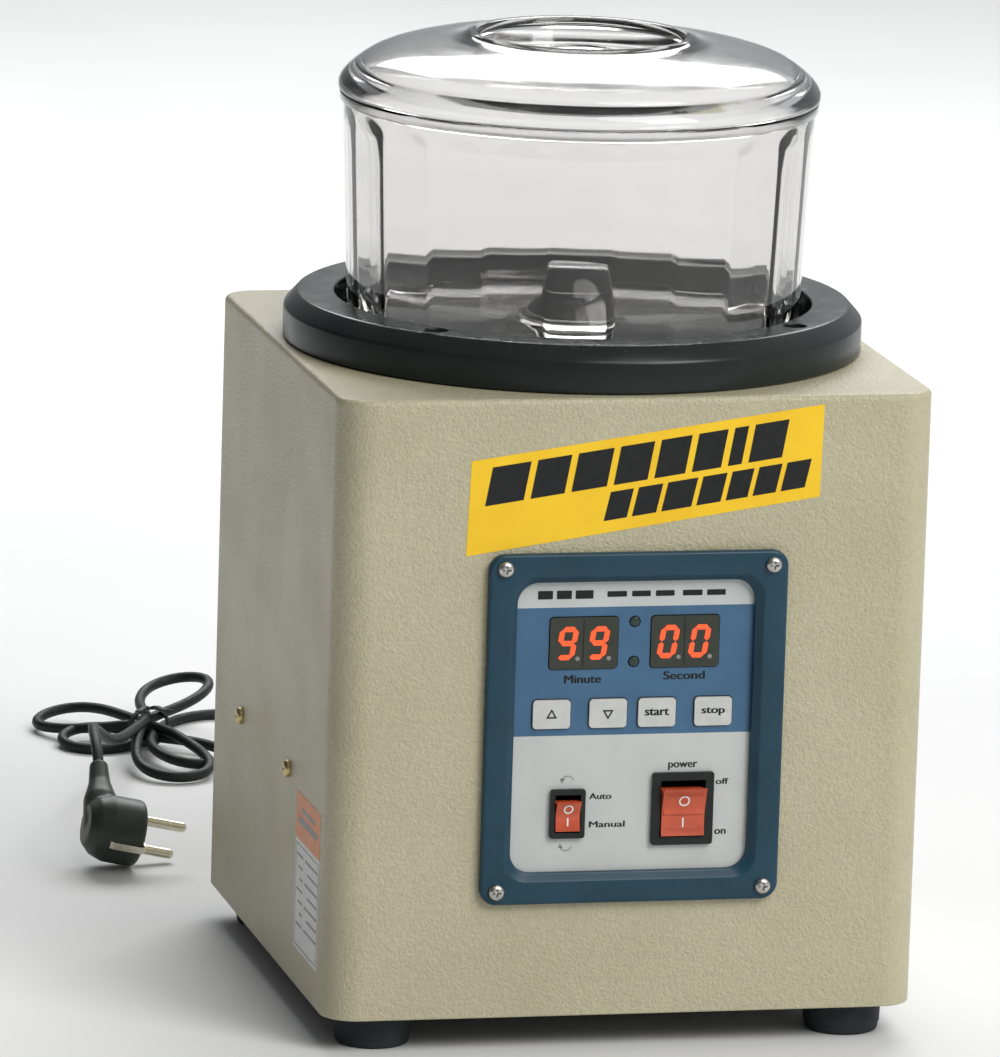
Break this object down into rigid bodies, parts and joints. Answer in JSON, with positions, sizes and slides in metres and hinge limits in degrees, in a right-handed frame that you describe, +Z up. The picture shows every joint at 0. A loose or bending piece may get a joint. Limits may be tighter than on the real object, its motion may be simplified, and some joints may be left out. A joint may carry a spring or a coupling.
{
  "type": "magnetic pin tumbler",
  "caption": "Bench tumbler: square steel housing with a control panel, clear lidded bowl in a round collar on top, magnet disc spun by a motor below, mains cord with plug.",
  "frame": {"origin": "on the floor under the middle of the machine, at the height of the feet's undersides", "axes": "+Z up, the control panel faces -Y, +X to the right of a person facing the panel"},
  "size_m": [0.2982, 0.6406, 0.4115],
  "materials": {
    "housing_paint": "fine hammertone texture, satin",
    "base_paint": "satin",
    "foot_rubber": "matt",
    "plated_screw": "bright nickel",
    "zinc_screw": "yellow passivated zinc",
    "collar_black": "satin, fine turned lines on top",
    "clear_acrylic": "clear, polished",
    "bezel_blue": "satin",
    "panel_overlay": "satin printed overlay",
    "display_window": "dark window",
    "key_grey": "satin",
    "switch_black": "satin",
    "rocker_red": "translucent gloss",
    "circuit_board": "lacquered board",
    "bracket_steel": "bare",
    "motor_alloy": "cast",
    "shaft_steel": "ground",
    "disc_aluminium": "turned",
    "magnet_plate": "nickel plated",
    "transformer_core": "lacquered laminations",
    "pin_plating": "nickel plated",
    "plug_rubber": "satin moulded",
    "cord_sheath": "satin sheath",
    "label_print": "printed vinyl, satin"
  },
  "bodies": {
    "housing": {"housing_shell": "housing_paint", "base_plate": "base_paint", "foot_1": "foot_rubber", "foot_screw_1": "plated_screw", "foot_2": "foot_rubber", "foot_screw_2": "plated_screw", "foot_3": "foot_rubber", "foot_screw_3": "plated_screw", "foot_4": "foot_rubber", "foot_screw_4": "plated_screw", "collar": "collar_black", "collar_screw_1": "plated_screw", "collar_screw_2": "plated_screw", "collar_screw_3": "plated_screw", "collar_screw_4": "plated_screw", "panel_bezel": "bezel_blue", "face_plate": "panel_overlay", "bezel_screw_1": "plated_screw", "bezel_screw_2": "plated_screw", "bezel_screw_3": "plated_screw", "bezel_screw_4": "plated_screw", "circuit_board": "circuit_board", "display_minutes": "display_window", "display_seconds": "display_window", "timer_lamp_1": "display_window", "timer_lamp_2": "display_window", "mode_switch_frame": "switch_black", "power_switch_frame": "switch_black", "motor_bracket": "bracket_steel", "side_screw_left_1": "zinc_screw", "side_screw_left_2": "zinc_screw", "side_screw_right_1": "zinc_screw", "side_screw_right_2": "zinc_screw", "motor_body": "motor_alloy", "transformer": "transformer_core", "strain_relief": "plug_rubber", "cord_tube": "cord_sheath", "cord_lead": "cord_sheath", "cord_hank": "cord_sheath", "plug_body": "plug_rubber", "plug_pin_1": "pin_plating", "plug_pin_2": "pin_plating"},
    "bowl": {"bowl": "clear_acrylic"},
    "lid": {"lid": "clear_acrylic"},
    "rotor": {"motor_shaft": "shaft_steel", "magnet_disc": "disc_aluminium", "magnet_1": "magnet_plate", "magnet_2": "magnet_plate", "magnet_3": "magnet_plate", "magnet_4": "magnet_plate", "magnet_5": "magnet_plate", "magnet_6": "magnet_plate"},
    "button_up": {"button_up": "key_grey"},
    "button_down": {"button_down": "key_grey"},
    "button_start": {"button_start": "key_grey"},
    "button_stop": {"button_stop": "key_grey"},
    "mode_rocker": {"mode_rocker": "rocker_red"},
    "power_rocker": {"power_rocker": "rocker_red"}
  },
  "joints": [
    {"name": "bowl_lift", "type": "slide", "parent": "housing", "child": "bowl", "axis": [0, 0, 1], "range_m": [0, 0.06]},
    {"name": "lid_lift", "type": "slide", "parent": "bowl", "child": "lid", "axis": [0, 0, 1], "range_m": [0, 0.05]},
    {"name": "rotor_spin", "type": "hinge", "parent": "housing", "child": "rotor", "pos_m": [0, 0.0033, 0.2], "axis": [0, 0, 1], "continuous": true},
    {"name": "button_up_press", "type": "slide", "parent": "housing", "child": "button_up", "axis": [0, 1, 0], "range_m": [0, 0.0008], "stiffness_N_per_m": 400},
    {"name": "button_down_press", "type": "slide", "parent": "housing", "child": "button_down", "axis": [0, 1, 0], "range_m": [0, 0.0008], "stiffness_N_per_m": 400},
    {"name": "button_start_press", "type": "slide", "parent": "housing", "child": "button_start", "axis": [0, 1, 0], "range_m": [0, 0.0008], "stiffness_N_per_m": 400},
    {"name": "button_stop_press", "type": "slide", "parent": "housing", "child": "button_stop", "axis": [0, 1, 0], "range_m": [0, 0.0008], "stiffness_N_per_m": 400},
    {"name": "mode_rocker_tilt", "type": "hinge", "parent": "housing", "child": "mode_rocker", "pos_m": [-0.0266, -0.1222, 0.1019], "axis": [-1, 0, 0], "range_deg": [0, 20]},
    {"name": "power_rocker_tilt", "type": "hinge", "parent": "housing", "child": "power_rocker", "pos_m": [0.0228, -0.1222, 0.1031], "axis": [-1, 0, 0], "range_deg": [0, 20]}
  ]
}
